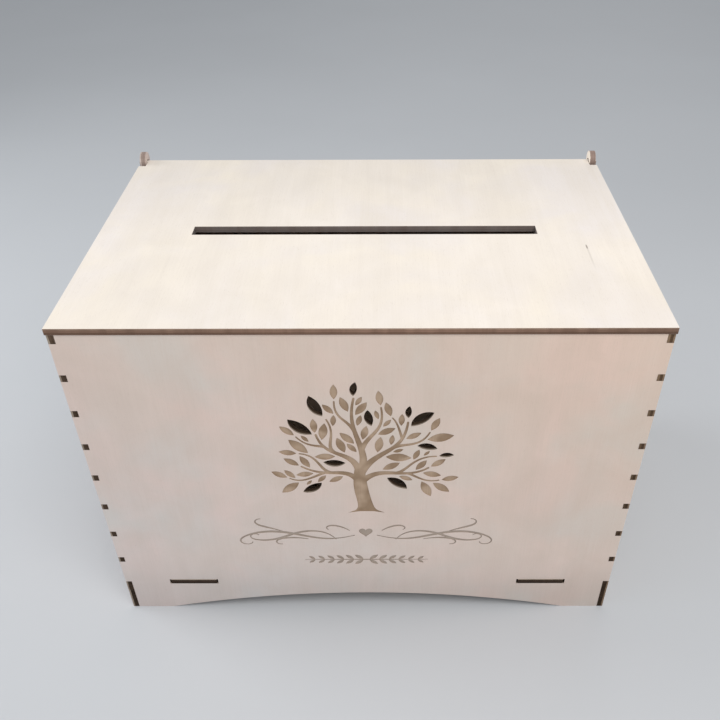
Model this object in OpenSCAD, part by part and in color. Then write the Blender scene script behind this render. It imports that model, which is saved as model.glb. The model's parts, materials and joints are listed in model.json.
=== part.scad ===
// Wedding card box, cut flat from thin plywood and fitted together without metal. Millimetres.
// Four walls lock at the corners with narrow tabs, the base hangs in slots on its own tabs,
// and the lid swings on two pegs that are part of it, in eyes at the top of the side panels.
// +Z is up, +X is to the right, and the front panel faces -Y.
// The origin is on the floor, under the middle of the outline of the closed box.

/* [Sheet] */
// Thickness of the plywood that every panel is cut from
sheet_t = 3.6; // [3:0.2:6]
// Clearance beside a tab in its notch or slot
joint_gap = 0.1; // [0.05:0.05:0.3]

/* [Walls] */
// Width over the outer faces of the side panels
box_w = 300; // [260:5:400]
// Depth over the outer faces of the front and rear panels
box_d = 200; // [150:5:300]
// Height from the floor to the underside of the lid
wall_h = 210.4; // [200:0.2:300]

/* [Corner joints] */
// Number of tabs up each corner, with the leg at its foot counted as one
corner_tabs = 9; // [5:1:12]
// Height of one corner tab
tab_h = 4; // [3:0.5:8]
// Distance from the top of the walls down to the middle of the top tab
top_tab_drop = 3.4; // [2.4:0.2:6]

/* [Feet] */
// Width of the flat foot at each end of a wall
foot_w = 26; // [15:1:40]
// Rise of the arch between two feet
arch_h = 14; // [6:1:18]

/* [Base] */
// Height of the underside of the base panel above the floor
base_z = 23; // [20:1:60]
// Length of one tab of the base panel
base_tab_w = 28; // [15:1:40]
// Distance from a corner of the box to the middle of the nearest base tab
base_tab_inset = 42.5; // [32:0.5:50]
// Room in the slot at each end of a base tab
base_slot_play = 1; // [0.25:0.25:2]
// Room in the slot above a base tab
base_slot_rise = 0.4; // [0.1:0.1:1]

/* [Lid] */
// Overhang of the lid past the front and side walls
lid_overhang = 0.5; // [0:0.25:3]
// Length of the card slot across the lid
slot_w = 195; // [150:5:220]
// Width of the card slot from front to rear
slot_d = 10; // [8:1:20]
// Distance of the card slot in front of the middle of the box
slot_forward = 1; // [-10:0.5:10]

/* [Hinge] */
// Distance from the rear face of the box to the hinge axis
hinge_inset = 1.5; // [1.5:0.5:6]
// Width of one hinge peg from front to rear
peg_w = 3; // [3:0.5:6]
// Length of a peg past the outer face of its ear
peg_out = 1.5; // [0.5:0.5:3]
// Clearance between the corners of a peg and its round eye
eye_play = 0.6; // [0.2:0.1:1]
// Width of the wood in front of an eye and behind it
ear_wall = 2.7; // [2.5:0.1:6]
// Height of the middle of an ear's round top above the hinge axis
ear_rise = 2.1; // [0:0.1:4]
// Gap between an ear and the lid beside it
ear_gap = 0.4; // [0.2:0.1:1]
// Gap between the rear wall and the rear edge of the lid as it swings over
swing_gap = 0.5; // [0.3:0.1:2]

/* [Tree ornament] */
// Height of the foot of the trunk above the floor
tree_foot_z = 88; // [70:1:95]
// Distance of the foot of the trunk to the right of the middle of the panel
tree_x = 0; // [-40:1:40]
// Size of the tree, as a share of its drawn size
tree_size = 1; // [0.8:0.05:1.1]
// Bulge of a pierced leaf on its fuller side, as a share of its length
leaf_belly = 0.26; // [0.18:0.01:0.3]
// Bulge of a pierced leaf on its flatter side, as a share of its length
leaf_back = 0.16; // [0.1:0.01:0.2]

/* [Hidden] */
$fa = 1;
$fs = 0.25;

// Colours of the pale wall veneer, the brighter lid veneer and the base inside
wall_colour = [0.85, 0.77, 0.66];
lid_colour = [0.93, 0.87, 0.76];
base_colour = [0.78, 0.69, 0.57];

// Length that a cutting shape runs past the edge it cuts
overrun = 1;

// Round eye that the corners of a peg turn in, the round top of the ear above it, and how far
// the ear reaches from the hinge axis
eye_r = norm([sheet_t, peg_w]) / 2 + eye_play;
ear_r = eye_r + ear_wall;
ear_reach = ear_rise + ear_r;

// Planes of the walls' outer faces, with the whole outline centred on the origin
ear_behind = ear_r - hinge_inset;
outline_d = lid_overhang + box_d + ear_behind;
y_front = lid_overhang - outline_d / 2;
y_rear = y_front + box_d;
y_middle = (y_front + y_rear) / 2;
x_side = box_w / 2;

// Hinge axis, which runs along X halfway up the thickness of the lid
hinge_y = y_rear - hinge_inset;
hinge_z = wall_h + sheet_t / 2;

// The rear wall stops below the circle that the rear corner of the lid draws
rear_h = hinge_z - norm([hinge_inset, sheet_t / 2]) - swing_gap;

// Corner tabs stand one pitch apart, and the leg takes the first pitch
tab_pitch = (wall_h - top_tab_drop) / corner_tabs;
leg_h = tab_pitch + tab_h / 2;
top_tab_z = wall_h - top_tab_drop - tab_h / 2;

// The rear notch at the top is opened down to the ear
ear_notch_z = min(top_tab_z, hinge_z + ear_rise - ear_r);

// Base tabs as shares of the middle of each wall
base_tab_x = x_side - base_tab_inset;
base_tab_y = box_d / 2 - base_tab_inset;
base_slot_w = base_tab_w + 2 * base_slot_play;

// Pierced leaves of the crown: across and up from the foot of the trunk, length, and
// the way the tip points, in degrees from +X towards +Z
PIERCED_LEAVES = [
    [-33, 64, 16, 140],
    [-16, 38.5, 12, 177],
    [-29, 19.5, 13, 214],
    [-24, 78, 15, 115],
    [-4, 89, 9, 82],
    [3.5, 70, 11, 100],
    [24, 74, 8, 86],
    [31, 69, 15, 38],
    [34, 49.5, 11, -12],
    [44.5, 43.5, 8, 5],
    [18, 22.5, 14, -38]
];

// Children at both ends of a wall that is centred on X = 0
module both_ends() {
    children();
    mirror([1, 0]) children();
}

// Opening under a wall: the cap of a disc that meets the floor at both feet
module arch(span) {
    chord = span - 2 * foot_w;
    arch_r = (pow(chord / 2, 2) + pow(arch_h, 2)) / (2 * arch_h);
    translate([0, arch_h - arch_r]) circle(r = arch_r);
}

// Notch in the right end of the front or rear wall, from one height to another
module end_notch(low, high) {
    notch_d = sheet_t + joint_gap;
    translate([x_side - notch_d, low]) square([notch_d + overrun, high - low]);
}

// Notches for the tabs, the leg and the top tab or ear of one side panel
module end_notches(top_notch_z, top) {
    end_notch(-overrun, leg_h + joint_gap);
    for (step = [2 : corner_tabs - 1])
        end_notch(step * tab_pitch - tab_h / 2 - joint_gap, step * tab_pitch + tab_h / 2 + joint_gap);
    end_notch(top_notch_z - joint_gap, top + overrun);
}

// Slots for the two base tabs of one wall: the tabs stand on the lower edges of the slots
module base_slots(tab_place) {
    both_ends() translate([tab_place - base_slot_w / 2, base_z]) square([base_slot_w, sheet_t + base_slot_rise]);
}

// Outline of the front or rear wall, X across and Z up
module cross_wall(height, top_notch_z) {
    difference() {
        translate([-x_side, 0]) square([box_w, height]);
        arch(box_w);
        both_ends() end_notches(top_notch_z, height);
        base_slots(base_tab_x);
    }
}

// Disc whose edge passes through both tips of a leaf and rises above X by the bulge
module leaf_side(length, bulge) {
    side_r = (pow(length / 2, 2) + pow(bulge, 2)) / (2 * bulge);
    translate([0, bulge - side_r]) circle(r = side_r);
}

// Pointed leaf with its middle at the origin and its tips on X: the lens where two discs overlap
module leaf(length) {
    intersection() {
        leaf_side(length, length * leaf_belly);
        mirror([0, 1]) leaf_side(length, length * leaf_back);
    }
}

// Leaves of the tree that are cut right through the front panel
module pierced_crown() {
    translate([tree_x, tree_foot_z])
        for (spot = PIERCED_LEAVES)
            translate([spot.x * tree_size, spot.y * tree_size])
                rotate(spot[3])
                    leaf(spot.z * tree_size);
}

// Ear about the hinge axis: a disc above the eye, with its front carried straight down to the wall
module ear() {
    translate([0, ear_rise]) {
        circle(r = ear_r);
        translate([-ear_r, -ear_r]) square(ear_r);
    }
}

// Outline of a side panel about the middle of the box, Y across and Z up
module side_wall() {
    difference() {
        union() {
            translate([-box_d / 2 + sheet_t, 0]) square([box_d - 2 * sheet_t, wall_h]);
            translate([-box_d / 2, 0]) square([box_d, leg_h]);
            for (step = [2 : corner_tabs - 1])
                translate([-box_d / 2, step * tab_pitch - tab_h / 2]) square([box_d, tab_h]);
            translate([-box_d / 2, top_tab_z]) square([box_d, wall_h - top_tab_z]);
            translate([hinge_y - y_middle, hinge_z]) ear();
        }
        arch(box_d);
        base_slots(base_tab_y);
        translate([hinge_y - y_middle, hinge_z]) circle(r = eye_r);
    }
}

// Side panel standing on the floor with its inner or outer face on X = 0
module side_panel() {
    translate([0, y_middle, 0]) rotate([90, 0, 90]) linear_extrude(sheet_t) side_wall();
}

module front_panel() {
    color(wall_colour)
        translate([0, y_front + sheet_t, 0]) rotate([90, 0, 0]) linear_extrude(sheet_t)
            difference() {
                cross_wall(wall_h, top_tab_z);
                pierced_crown();
            }
}

module rear_panel() {
    color(wall_colour)
        translate([0, y_rear, 0]) rotate([90, 0, 0]) linear_extrude(sheet_t)
            cross_wall(rear_h, ear_notch_z);
}

module left_side() {
    color(wall_colour) translate([-x_side, 0, 0]) side_panel();
}

module right_side() {
    color(wall_colour) translate([x_side - sheet_t, 0, 0]) side_panel();
}

// Base panel between the walls, with two tabs through each of them
module base_panel() {
    inner_w = box_w - 2 * sheet_t;
    inner_d = box_d - 2 * sheet_t;
    color(base_colour)
        translate([0, y_middle, base_z]) linear_extrude(sheet_t) {
            square([inner_w, inner_d], center = true);
            for (end = [-1, 1]) {
                translate([end * base_tab_x, 0]) square([base_tab_w, box_d], center = true);
                translate([0, end * base_tab_y]) square([box_w, base_tab_w], center = true);
            }
        }
}

// Outline of the lid, with a peg through each ear, and its rear corners cut back so that they
// clear the ears as it swings over
module lid_outline() {
    lid_w = box_w + 2 * lid_overhang;
    lid_front = y_front - lid_overhang;
    shoulder_y = hinge_y - ear_reach - ear_gap;
    tail_w = box_w - 2 * (sheet_t + ear_gap);
    difference() {
        union() {
            translate([-lid_w / 2, lid_front]) square([lid_w, shoulder_y - lid_front]);
            translate([-tail_w / 2, lid_front]) square([tail_w, y_rear - lid_front]);
            translate([0, hinge_y]) square([box_w + 2 * peg_out, peg_w], center = true);
        }
        translate([0, y_middle - slot_forward]) square([slot_w, slot_d], center = true);
    }
}

module lid() {
    color(lid_colour) translate([0, 0, wall_h]) linear_extrude(sheet_t) lid_outline();
}

front_panel();
rear_panel();
left_side();
right_side();
base_panel();
lid();
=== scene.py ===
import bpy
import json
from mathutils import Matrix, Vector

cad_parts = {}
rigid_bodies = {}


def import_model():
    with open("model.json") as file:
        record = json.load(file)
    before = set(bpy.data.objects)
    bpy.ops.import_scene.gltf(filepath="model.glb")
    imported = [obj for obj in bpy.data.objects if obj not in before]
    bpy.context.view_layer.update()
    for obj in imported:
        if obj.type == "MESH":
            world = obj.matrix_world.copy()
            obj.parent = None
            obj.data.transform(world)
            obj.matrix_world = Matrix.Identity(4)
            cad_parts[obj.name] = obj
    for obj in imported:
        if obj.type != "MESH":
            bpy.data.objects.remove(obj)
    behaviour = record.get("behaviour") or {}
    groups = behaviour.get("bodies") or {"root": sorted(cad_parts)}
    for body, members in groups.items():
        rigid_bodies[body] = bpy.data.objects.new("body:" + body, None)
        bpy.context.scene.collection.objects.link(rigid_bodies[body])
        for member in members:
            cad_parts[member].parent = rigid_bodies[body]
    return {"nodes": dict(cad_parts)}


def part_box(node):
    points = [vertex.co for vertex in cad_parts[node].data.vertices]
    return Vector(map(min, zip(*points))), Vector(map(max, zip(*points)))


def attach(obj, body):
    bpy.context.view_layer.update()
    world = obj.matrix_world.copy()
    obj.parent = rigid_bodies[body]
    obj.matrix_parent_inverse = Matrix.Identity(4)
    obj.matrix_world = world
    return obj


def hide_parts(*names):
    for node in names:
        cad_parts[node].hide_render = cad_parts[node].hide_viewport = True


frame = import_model()

"""Finish of a wedding card box: laser-cut birch plywood, a pierced and engraved tree, and a studio."""

import json
import logging
import math
from dataclasses import dataclass, field, replace
from enum import Enum

import bmesh
import bpy
import numpy as np
from mathutils import Matrix, Vector
from mathutils.geometry import delaunay_2d_cdt

LOG = logging.getLogger("card_box")
MM = 0.001
Point = tuple[float, float]
Colour = tuple[float, float, float]
Socket = bpy.types.NodeSocket


class Axis(Enum):
    """Axis of the box's frame, with its place in a coordinate."""

    X = 0
    Y = 1
    Z = 2


class Side(Enum):
    """Side of a branch that a leaf stands on, seen along the branch."""

    LEFT = 1
    RIGHT = -1


# -------------------------------------------------------- finishes, with colours in linear light


@dataclass(frozen=True)
class VeneerFinish:
    """Sanded birch veneer on the two faces of a sheet.

    Attributes:
        light: wood between the fibres.
        dark: wood in the fibres, the figure and the bands.
        warm: tint of the warmer clouds.
        cool: tint of the cooler clouds.
        roughness: roughness of the surface.
        streaks: strength of the figure and the bands, which run along the grain.
        mottle: strength of the clouds that run no way.
        fleck: middle of one bark fleck, in metres.
        painted_light_drift: painted light, as factors on the colour at the lower left and at the upper
            right.
        tone: painted shade, brightness by the distance along the grain from the sheet's low end, in metres.
    """

    light: Colour
    dark: Colour
    warm: Colour
    cool: Colour
    roughness: float = 0.58
    streaks: float = 0.6
    mottle: float = 0.25
    fleck: Point | None = None
    painted_light_drift: tuple[Colour, Colour] | None = None
    tone: tuple[Point, ...] = ()


@dataclass(frozen=True)
class CutEdgeFinish:
    """Laser-cut edge of a three-ply sheet.

    Attributes:
        outer: outer ply.
        core: middle ply.
        inner: inner ply.
        glue: stain of glue and soot over all plies.
        char: fully charred wood, the colour of the glue lines and of the painted shade.
        painted_shade_by_height: painted shade, how far the wood turns that dark colour at which height, in
            metres; darker towards the floor.
        smoke_and_painted_shade: smoke stain and painted shade on the walls of the card slot.
        smoke_and_painted_shade_half: half width and half depth of the smoked and shaded area about the Z
            axis, in metres.
        tone: painted shade, brightness by the distance along X from the sheet's low end, in metres.
        painted_light_on_ears: outer ply and the rest on the hinge ears, made paler by painted light.
        roughness: roughness of the edge.
    """

    outer: Colour
    core: Colour
    inner: Colour
    glue: Colour
    char: Colour = (0.020, 0.0115, 0.006)
    painted_shade_by_height: tuple[Point, ...] = ()
    smoke_and_painted_shade: Colour = (0.198, 0.193, 0.195)
    smoke_and_painted_shade_half: Point | None = None
    tone: tuple[Point, ...] = ()
    painted_light_on_ears: tuple[Colour, Colour] | None = None
    roughness: float = 0.82


@dataclass(frozen=True)
class EngravedFinish:
    """Floor of an engraved recess: lightly and deeply burnt wood, scorched rim, and fine strokes."""

    light: Colour
    dark: Colour
    scorch: Colour
    fine: Colour
    roughness: float = 0.78


# Side veneers: the left is a darker copy of the wall veneer by painted shade, the right a paler, whiter
# copy by painted light.
LEFT_VENEER_PAINTED_SHADE = VeneerFinish(
    light=(0.735, 0.615, 0.56), dark=(0.64, 0.525, 0.465),
    warm=(0.75, 0.605, 0.54), cool=(0.67, 0.60, 0.565))
RIGHT_VENEER_PAINTED_LIGHT = VeneerFinish(
    light=(0.90, 0.81, 0.71), dark=(0.80, 0.705, 0.605),
    warm=(0.91, 0.80, 0.69), cool=(0.86, 0.775, 0.715))
# Lid veneer: its tone stops are painted shade, darker towards the rear.
LID_VENEER = VeneerFinish(
    light=(0.877, 0.80, 0.725), dark=(0.765, 0.69, 0.61),
    warm=(0.892, 0.806, 0.695), cool=(0.816, 0.755, 0.735),
    streaks=0.5, mottle=0.34, fleck=(0.1222, -0.0229),
    tone=((0.03, 0.98), (0.09, 1.0), (0.135, 0.968), (0.160, 0.93), (0.195, 0.92)))
WALL_VENEER = VeneerFinish(
    light=(0.785, 0.648, 0.567), dark=(0.68, 0.552, 0.47),
    warm=(0.815, 0.632, 0.556), cool=(0.708, 0.646, 0.584))
BASE_VENEER = VeneerFinish(
    light=(0.72, 0.60, 0.48), dark=(0.60, 0.48, 0.36),
    warm=(0.70, 0.56, 0.44), cool=(0.64, 0.56, 0.47))
# Front veneer: its drift is painted light, cooler at the lower left and warmer at the upper right; its tone
# stops are painted shade, darker towards the bottom.
FRONT_VENEER = replace(
    WALL_VENEER, streaks=0.3, mottle=0.42, painted_light_drift=((0.935, 1.02, 1.12), (1.01, 0.975, 0.93)),
    tone=((0.006, 0.84), (0.020, 0.87), (0.034, 0.95), (0.050, 1.0)))
# Lid edge: its tone stops are painted shade, darker towards both ends along X; its smoke is smoke stain and
# painted shade on the card slot's walls.
LID_EDGE = CutEdgeFinish(
    outer=(0.40, 0.27, 0.197), core=(0.295, 0.181, 0.130),
    inner=(0.188, 0.114, 0.081), glue=(0.12, 0.070, 0.049), smoke_and_painted_shade_half=(0.11, 0.02),
    tone=((0.01, 0.80), (0.085, 0.83), (0.115, 1.0), (0.195, 1.0), (0.235, 0.90), (0.27, 0.74)))
# Wall edge: its darkening by height is painted shade, darker towards the floor; its ear colours are painted
# light, paler above the lid.
WALL_EDGE = CutEdgeFinish(
    outer=(0.43, 0.355, 0.28), core=(0.225, 0.15, 0.102),
    inner=(0.16, 0.104, 0.070), glue=(0.105, 0.064, 0.044),
    painted_shade_by_height=((0.022, 1.0), (0.040, 0.96), (0.058, 0.91),
                    (0.085, 0.84), (0.204, 0.81), (0.212, 0.25)),
    painted_light_on_ears=((0.62, 0.52, 0.47), (0.37, 0.285, 0.25)))
# Right side's edge: its darkening by height is painted shade, darker towards the floor; its ear colours are
# painted light, paler above the lid.
RIGHT_EDGE = replace(
    WALL_EDGE, outer=(0.30, 0.205, 0.135), core=(0.15, 0.091, 0.052), inner=(0.40, 0.27, 0.168),
    painted_shade_by_height=((0.022, 1.0), (0.040, 0.985), (0.060, 0.91), (0.085, 0.87),
                    (0.120, 0.74), (0.155, 0.66), (0.185, 0.44), (0.212, 0.34)),
    painted_light_on_ears=((0.34, 0.25, 0.215), (0.35, 0.255, 0.22)))
BASE_EDGE = CutEdgeFinish(
    outer=(0.075, 0.050, 0.036), core=(0.046, 0.030, 0.021),
    inner=(0.033, 0.021, 0.014), glue=(0.022, 0.014, 0.010))
ENGRAVED = EngravedFinish(
    light=(0.53, 0.395, 0.288), dark=(0.35, 0.248, 0.166),
    scorch=(0.225, 0.143, 0.088), fine=(0.41, 0.352, 0.312))


class ShaderGraph:
    """Node tree of one material, built up by short calls."""

    SHEEN = 0.12

    def __init__(self, name: str) -> None:
        """Starts an empty material.

        Args:
            name: name of the material.
        """
        self.material = bpy.data.materials.new(name)
        self.material.use_nodes = True
        self.nodes = self.material.node_tree.nodes
        self.links = self.material.node_tree.links
        self.nodes.clear()

    def put(self, value: object, socket: Socket) -> None:
        """Links a socket into another, or sets a plain value on it.

        Args:
            value: socket, number or colour.
            socket: input that takes it.
        """
        if isinstance(value, bpy.types.NodeSocket):
            self.links.new(value, socket)
        elif isinstance(value, tuple) and len(value) == 3 and socket.type == "RGBA":
            socket.default_value = (*value, 1.0)
        else:
            socket.default_value = value

    def math(self, operation: str, *values: object) -> Socket:
        """Adds a Math node.

        Args:
            operation: Blender's name of the operation.
            values: sockets or numbers, in order.

        Returns:
            The node's output.
        """
        node = self.nodes.new("ShaderNodeMath")
        node.operation = operation
        for value, socket in zip(values, node.inputs):
            self.put(value, socket)
        return node.outputs[0]

    def plus(self, first: object, second: object) -> Socket:
        """Returns the sum of two sockets or numbers."""
        return self.math("ADD", first, second)

    def minus(self, first: object, second: object) -> Socket:
        """Returns the first socket or number less the second."""
        return self.math("SUBTRACT", first, second)

    def times(self, first: object, second: object) -> Socket:
        """Returns the product of two sockets or numbers."""
        return self.math("MULTIPLY", first, second)

    def coordinates(self) -> tuple[Socket, Socket, Socket]:
        """Returns the X, Y and Z of the object's own coordinates, in metres."""
        place = self.nodes.new("ShaderNodeTexCoord").outputs["Object"]
        split = self.nodes.new("ShaderNodeSeparateXYZ")
        self.links.new(place, split.inputs[0])
        return tuple(split.outputs)

    def vector(self, x: object, y: object, z: object) -> Socket:
        """Returns a vector put together from three sockets or numbers."""
        node = self.nodes.new("ShaderNodeCombineXYZ")
        for value, socket in zip((x, y, z), node.inputs):
            self.put(value, socket)
        return node.outputs[0]

    def noise(self, place: Socket, scale: float, detail: float, distortion: float = 0.0) -> Socket:
        """Adds a noise texture.

        Args:
            place: coordinates of the noise.
            scale: cells for each unit of the coordinates.
            detail: number of finer octaves.
            distortion: how far the noise bends itself.

        Returns:
            The value of the noise.
        """
        node = self.nodes.new("ShaderNodeTexNoise")
        node.inputs["Scale"].default_value = scale
        node.inputs["Detail"].default_value = detail
        node.inputs["Distortion"].default_value = distortion
        self.links.new(place, node.inputs["Vector"])
        return node.outputs["Fac"]

    def span(self, value: Socket, low: float, high: float,
             to_low: float = 0.0, to_high: float = 1.0) -> Socket:
        """Maps a value from one range to another, and holds it within that.

        Args:
            value: socket that is mapped.
            low: value that becomes to_low.
            high: value that becomes to_high.
            to_low: start of the new range.
            to_high: end of the new range.

        Returns:
            The mapped value.
        """
        node = self.nodes.new("ShaderNodeMapRange")
        self.links.new(value, node.inputs["Value"])
        ends = {"From Min": low, "From Max": high, "To Min": to_low, "To Max": to_high}
        for name, number in ends.items():
            node.inputs[name].default_value = number
        return node.outputs["Result"]

    def ramp(self, value: Socket, stops: tuple[Point, ...]) -> Socket:
        """Reads numbers off a line through stops.

        Args:
            value: where on the line, between 0 and 1.
            stops: pairs of a place on the line and the number there.

        Returns:
            The number, as a grey colour.
        """
        node = self.nodes.new("ShaderNodeValToRGB")
        band = node.color_ramp.elements
        for _ in stops[2:]:
            band.new(1.0)
        for element, (place, number) in zip(band, stops):
            element.position = place
            element.color = (number, number, number, 1.0)
        self.links.new(value, node.inputs[0])
        return node.outputs["Color"]

    def mix(self, share: object, first: object, second: object, blend: str = "MIX") -> Socket:
        """Mixes two colours.

        Args:
            share: how much of the second colour shows.
            first: colour or socket.
            second: colour or socket.
            blend: Blender's name of the way of mixing.

        Returns:
            The mixed colour.
        """
        node = self.nodes.new("ShaderNodeMix")
        node.data_type = "RGBA"
        node.blend_type = blend
        for value, entry in ((share, "Factor"), (first, 6), (second, 7)):
            self.put(value, node.inputs[entry])
        return node.outputs[2]

    def bump(self, height: Socket, distance: float, strength: float) -> Socket:
        """Returns a normal that a height pattern has tilted."""
        node = self.nodes.new("ShaderNodeBump")
        node.inputs["Strength"].default_value = strength
        node.inputs["Distance"].default_value = distance
        self.links.new(height, node.inputs["Height"])
        return node.outputs["Normal"]

    def finish(self, colour: Socket, roughness: Socket, normal: Socket) -> bpy.types.Material:
        """Closes the graph with a dry surface of little sheen.

        Args:
            colour: colour of the surface.
            roughness: roughness of the surface.
            normal: normal of the surface.

        Returns:
            The finished material.
        """
        surface = self.nodes.new("ShaderNodeBsdfPrincipled")
        surface.inputs["Specular IOR Level"].default_value = self.SHEEN
        for socket, name in ((colour, "Base Color"), (roughness, "Roughness"), (normal, "Normal")):
            self.links.new(socket, surface.inputs[name])
        output = self.nodes.new("ShaderNodeOutputMaterial")
        self.links.new(surface.outputs[0], output.inputs["Surface"])
        return self.material


@dataclass(frozen=True)
class Sheet:
    """One flat plywood panel: which way it is thick, where its faces are, and how its grain runs."""

    node: str
    thick: Axis
    grain: Axis
    outer_is_high: bool

    @property
    def across(self) -> Axis:
        """Axis in the plane of the panel and across its grain."""
        return next(axis for axis in Axis if axis not in (self.thick, self.grain))

    def faces(self) -> tuple[float, float]:
        """Returns where the outer and the inner face lie on the thick axis, in metres."""
        low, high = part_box(self.node)
        ends = (low[self.thick.value], high[self.thick.value])
        return ends[::-1] if self.outer_is_high else ends


@dataclass(frozen=True)
class Layer:
    """One noise of the veneer: cells a metre across and along the grain, its shape, and its strength."""

    across: float
    along: float
    detail: float
    bend: float
    low: float
    high: float
    strength: float = 1.0


@dataclass
class Plywood:
    """Maker of the materials of one kind of sheet, from the finishes of its faces and its cut edges."""

    veneer: VeneerFinish
    edge: CutEdgeFinish

    FIBRE = Layer(1500.0, 26.0, 3.0, 0.25, 0.25, 0.75, 0.22)
    FIGURE = Layer(75.0, 6.5, 4.0, 1.1, 0.32, 0.70, 0.50)
    BANDS = Layer(34.0, 3.5, 2.0, 0.5, 0.35, 0.65, 0.30)
    MOTTLE = Layer(34.0, 27.0, 6.0, 0.7, 0.34, 0.66)
    PORES = Layer(4300.0, 330.0, 1.0, 0.0, 0.64, 0.76, 0.15)
    WARM_CLOUDS = Layer(24.0, 13.0, 5.0, 0.6, 0.40, 0.62, 0.9)
    COOL_CLOUDS = Layer(19.2, 16.9, 5.0, 0.4, 0.45, 0.66, 0.85)
    DEPTH_CELLS = 40.0
    RINGS = 7.0
    RING_SPAN = (0.35, 1.0)
    RING_SHARE = 0.16
    PORE_COLOUR = (0.34, 0.25, 0.18)
    PORE_DEPTH = 0.8
    PAINTED_LIGHT_ACROSS = (-0.15, 0.15, 0.0, 0.45)
    PAINTED_LIGHT_ALONG = (0.0, 0.21, 0.0, 0.55)
    UNEVEN = (0.2, 0.8, -0.05, 0.05)
    RELIEF = 0.06 * MM
    RELIEF_STRENGTH = 0.55

    FLECK_COLOUR = (0.10, 0.06, 0.04)
    FLECK_LENGTH = 2.4 * MM
    FLECK_WIDTH = 0.45 * MM
    FLECK_SPAN = (0.4, 1.5, 0.62, 0.0)
    SPLIT_SPAN = (0.6, 1.4, 0.13, 0.0)
    SPLIT_ENDS = (-11.0, -6.0)

    FACE_BAND = 0.006
    OUTER_JOINT = (0.23, 0.29)
    INNER_JOINT = (0.60, 0.68)
    GLUE_LINES = (0.28, 0.66)
    GLUE_SPAN = (0.0, 0.035, 0.6, 0.0)
    EDGE_SQUEEZE = 0.05
    STREAK_NOISE = (2600.0, 2.0)
    STREAK_SPAN = (0.45, 0.75, 0.0, 0.08)
    SOOT_NOISE = (210.0, 3.0)
    SOOT_SPAN = (0.35, 0.7, 0.0, 0.35)
    WANDER = (0.3, 0.7, -0.035, 0.035)
    OUTER_PAINTED_SHADE = 0.3
    SMOKE_AND_PAINTED_SHADE = 0.7
    PAINTED_EAR_LIGHT_FROM = (0.211, 0.213)

    def material(self, sheet: Sheet) -> bpy.types.Material:
        """Builds the material of one panel.

        Args:
            sheet: the panel and the way its grain runs.

        Returns:
            A material with veneer on both faces and layered, scorched edges between them.
        """
        graph = ShaderGraph(f"{sheet.node}_birch_plywood")
        place = graph.coordinates()
        depth = graph.span(place[sheet.thick.value], *sheet.faces())
        middle = graph.math("ABSOLUTE", graph.minus(depth, 0.5))
        on_edge = graph.math("LESS_THAN", middle, 0.5 - self.FACE_BAND)
        face_colour, face_height = self._face(graph, sheet, place)
        edge_colour, edge_height = self._edge(graph, sheet, place, depth)
        colour = graph.mix(on_edge, face_colour, edge_colour)
        on_face = graph.minus(1.0, on_edge)
        height = graph.plus(graph.times(face_height, on_face), graph.times(edge_height, on_edge))
        roughness = graph.span(on_edge, 0.0, 1.0, self.veneer.roughness, self.edge.roughness)
        uneven = graph.plus(roughness, graph.span(face_height, *self.UNEVEN))
        return graph.finish(colour, uneven, graph.bump(height, self.RELIEF, self.RELIEF_STRENGTH))

    def _face(self, graph: ShaderGraph, sheet: Sheet, place: tuple[Socket, ...]) -> tuple[Socket, Socket]:
        """Returns the colour and the height of sanded veneer."""
        veneer = self.veneer
        across, along = place[sheet.across.value], place[sheet.grain.value]
        thick = graph.times(place[sheet.thick.value], self.DEPTH_CELLS)

        def noise(layer: Layer) -> Socket:
            """Returns the noise of one layer."""
            cells = graph.vector(graph.times(across, layer.across), graph.times(along, layer.along), thick)
            return graph.noise(cells, 1.0, layer.detail, layer.bend)

        def shown(layer: Layer, value: Socket, factor: float = 1.0) -> Socket:
            """Returns how much of one layer shows where."""
            return graph.span(value, layer.low, layer.high, 0.0, layer.strength * factor)

        fibre, figure = noise(self.FIBRE), noise(self.FIGURE)
        share = graph.plus(shown(self.FIBRE, fibre), shown(self.FIGURE, figure, veneer.streaks))
        share = graph.plus(share, shown(self.BANDS, noise(self.BANDS), veneer.streaks))
        share = graph.plus(share, shown(self.MOTTLE, noise(self.MOTTLE), veneer.mottle))
        tone = graph.mix(shown(self.WARM_CLOUDS, noise(self.WARM_CLOUDS)), veneer.light, veneer.warm)
        tone = graph.mix(shown(self.COOL_CLOUDS, noise(self.COOL_CLOUDS)), tone, veneer.cool)
        wood = graph.mix(share, tone, veneer.dark)
        ring = graph.math("SINE", graph.times(figure, 2.0 * math.pi * self.RINGS))
        ring = graph.span(ring, *self.RING_SPAN, 0.0, self.RING_SHARE * veneer.streaks)
        wood = graph.mix(ring, wood, veneer.dark)
        pore = shown(self.PORES, noise(self.PORES))
        colour = graph.mix(pore, wood, self.PORE_COLOUR)
        # Painted light: the colour turns cooler towards the lower left and warmer towards the upper right.
        if veneer.painted_light_drift:
            painted_light_drift = graph.plus(graph.span(across, *self.PAINTED_LIGHT_ACROSS), graph.span(along, *self.PAINTED_LIGHT_ALONG))
            colour = graph.mix(1.0, colour, graph.mix(painted_light_drift, *veneer.painted_light_drift), "MULTIPLY")
        # Painted shade: darker along the grain by the tone stops, on the front towards its bottom and on
        # the lid towards its rear.
        if veneer.tone:
            colour = self._with_painted_shade(graph, sheet, place, sheet.grain, colour, veneer.tone)
        if veneer.fleck:
            colour = graph.mix(self._fleck(graph, place), colour, self.FLECK_COLOUR)
        return colour, graph.minus(fibre, graph.times(pore, self.PORE_DEPTH))

    @staticmethod
    def _with_painted_shade(graph: ShaderGraph, sheet: Sheet, place: tuple[Socket, ...], axis: Axis, colour: Socket,
               stops: tuple[Point, ...]) -> Socket:
        """Returns a colour with painted shade, darker along one axis by stops measured from the sheet's low
        end.
        """
        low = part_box(sheet.node)[0][axis.value]
        level = graph.ramp(graph.minus(place[axis.value], low), stops)
        return graph.mix(1.0, colour, level, "MULTIPLY")

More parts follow.
